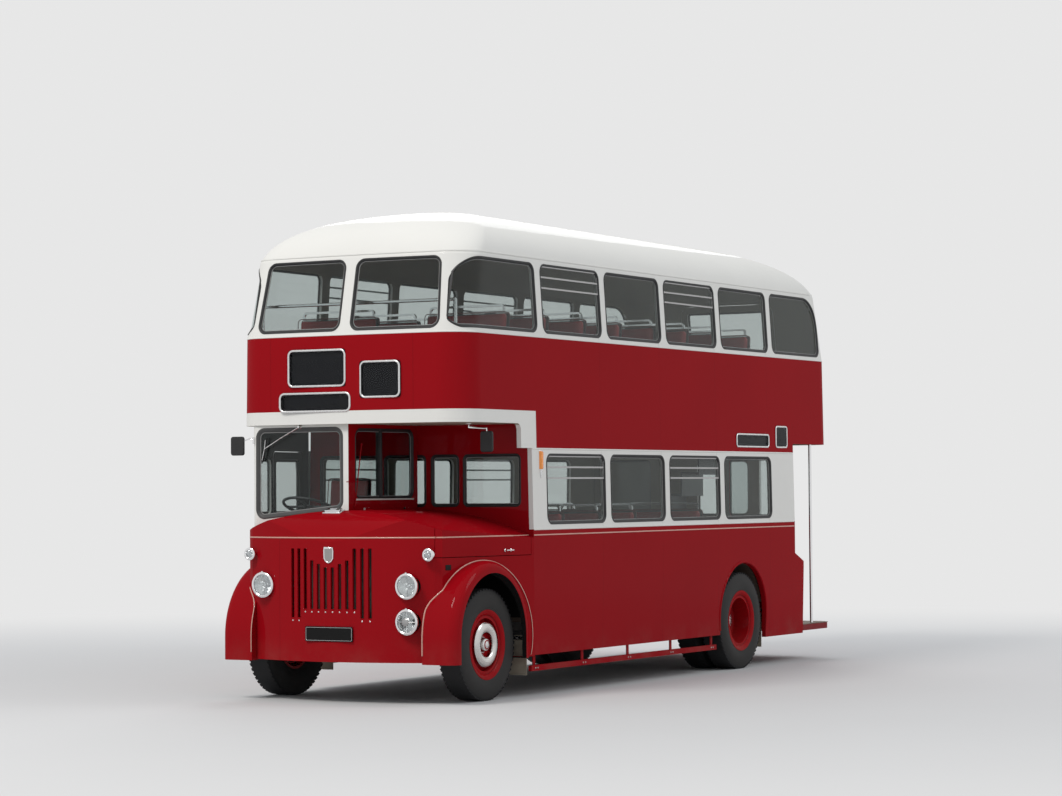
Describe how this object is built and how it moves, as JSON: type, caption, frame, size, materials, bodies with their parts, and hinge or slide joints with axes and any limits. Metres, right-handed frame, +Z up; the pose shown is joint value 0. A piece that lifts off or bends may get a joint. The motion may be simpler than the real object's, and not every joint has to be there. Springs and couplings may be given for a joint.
{
  "type": "half-cab double decker bus with an open rear platform",
  "caption": "Half-cab double decker bus with an open rear platform, steered front wheels, twin rear wheels, opening cab door, bonnet and rear emergency window.",
  "frame": {"origin": "on the ground, below the middle of the vehicle", "axes": "the front faces -Y, +X is the nearside with the platform entrance, +Z is up"},
  "size_m": [2.47, 8.251, 4.4005],
  "materials": {
    "body_red": "gloss",
    "body_upper": "gloss",
    "roof": "gloss",
    "ceiling": "satin",
    "floor": "matte",
    "steel_dark": "satin",
    "glass": "clear",
    "bright_trim": "polished",
    "display_black": "gloss",
    "seat_red": "woven",
    "lamp_bright": "polished",
    "chassis_black": "satin",
    "flap_rubber": "matte",
    "engine_iron": "satin",
    "tyre": "matte",
    "wheel_red": "gloss"
  },
  "bodies": {
    "bus": {"upper_front": "body_upper", "upper_sides": "body_upper", "upper_rear": "body_upper", "roof": "roof", "upper_floor": "ceiling", "lower_nearside": "body_red", "lower_offside": "body_red", "lower_rear": "body_red", "front_bulkhead": "body_red", "rear_bulkhead": "body_red", "lower_floor": "floor", "staircase": "steel_dark", "front_cowl": "body_red", "front_wings": "body_red", "cab_shell": "body_red", "glazing": "glass", "window_vents": "bright_trim", "destination_boxes": "display_black", "seat_cushions": "seat_red", "seat_frames": "steel_dark", "handrails": "bright_trim", "lamps": "lamp_bright", "mirrors": "steel_dark", "side_rails": "body_red", "chassis_frame": "chassis_black", "mudflaps": "flap_rubber", "front_axle": "chassis_black", "rear_axle": "chassis_black", "leaf_springs": "chassis_black", "engine": "engine_iron", "radiator": "engine_iron", "propeller_shaft": "chassis_black", "fuel_tank": "chassis_black", "steering_column": "steel_dark"},
    "knuckle_nearside": {"knuckle_nearside": "chassis_black"},
    "knuckle_offside": {"knuckle_offside": "chassis_black"},
    "track_rod": {"track_rod": "chassis_black"},
    "front_wheel_nearside": {"front_tyre_nearside": "tyre", "front_rim_nearside": "wheel_red"},
    "front_wheel_offside": {"front_tyre_offside": "tyre", "front_rim_offside": "wheel_red"},
    "rear_wheels_nearside": {"rear_tyres_nearside": "tyre", "rear_rims_nearside": "wheel_red"},
    "rear_wheels_offside": {"rear_tyres_offside": "tyre", "rear_rims_offside": "wheel_red"},
    "cab_door": {"cab_door": "body_red", "cab_door_glass": "glass"},
    "bonnet": {"bonnet": "body_red"},
    "emergency_window": {"emergency_window": "body_upper", "emergency_glass": "glass"}
  },
  "joints": [
    {"name": "steer_nearside", "type": "hinge", "parent": "bus", "child": "knuckle_nearside", "pos_m": [0.88, -3.285, 0.49], "axis": [0, 0, 1], "range_deg": [-35, 35]},
    {"name": "steer_offside", "type": "hinge", "parent": "bus", "child": "knuckle_offside", "pos_m": [-0.88, -3.285, 0.49], "axis": [0, 0, 1], "range_deg": [-35, 35]},
    {"name": "track_rod_swing", "type": "hinge", "parent": "knuckle_nearside", "child": "track_rod", "pos_m": [0.88, -3.115, 0.43], "axis": [0, 0, 1], "range_deg": [-35, 35]},
    {"name": "front_wheel_nearside_roll", "type": "hinge", "parent": "knuckle_nearside", "child": "front_wheel_nearside", "pos_m": [0.995, -3.285, 0.49], "axis": [1, 0, 0], "continuous": true},
    {"name": "front_wheel_offside_roll", "type": "hinge", "parent": "knuckle_offside", "child": "front_wheel_offside", "pos_m": [-0.995, -3.285, 0.49], "axis": [1, 0, 0], "continuous": true},
    {"name": "rear_wheels_nearside_roll", "type": "hinge", "parent": "bus", "child": "rear_wheels_nearside", "pos_m": [0.941, 1.719, 0.49], "axis": [1, 0, 0], "continuous": true},
    {"name": "rear_wheels_offside_roll", "type": "hinge", "parent": "bus", "child": "rear_wheels_offside", "pos_m": [-0.941, 1.719, 0.49], "axis": [1, 0, 0], "continuous": true},
    {"name": "cab_door_swing", "type": "hinge", "parent": "bus", "child": "cab_door", "pos_m": [-1.20441, -2.782, 1.8], "axis": [0, 0, -1], "range_deg": [0, 80]},
    {"name": "bonnet_lift", "type": "hinge", "parent": "bus", "child": "bonnet", "pos_m": [0.0185, -3.2, 1.682], "axis": [0, -1, 0], "range_deg": [0, 40]},
    {"name": "emergency_window_lift", "type": "hinge", "parent": "bus", "child": "emergency_window", "pos_m": [0, 3.99613, 3.865], "axis": [1, 0, 0], "range_deg": [0, 70]}
  ],
  "couplings": [
    {"joint": "steer_offside", "follows": "steer_nearside", "ratio": 1},
    {"joint": "track_rod_swing", "follows": "steer_nearside", "ratio": -1}
  ]
}
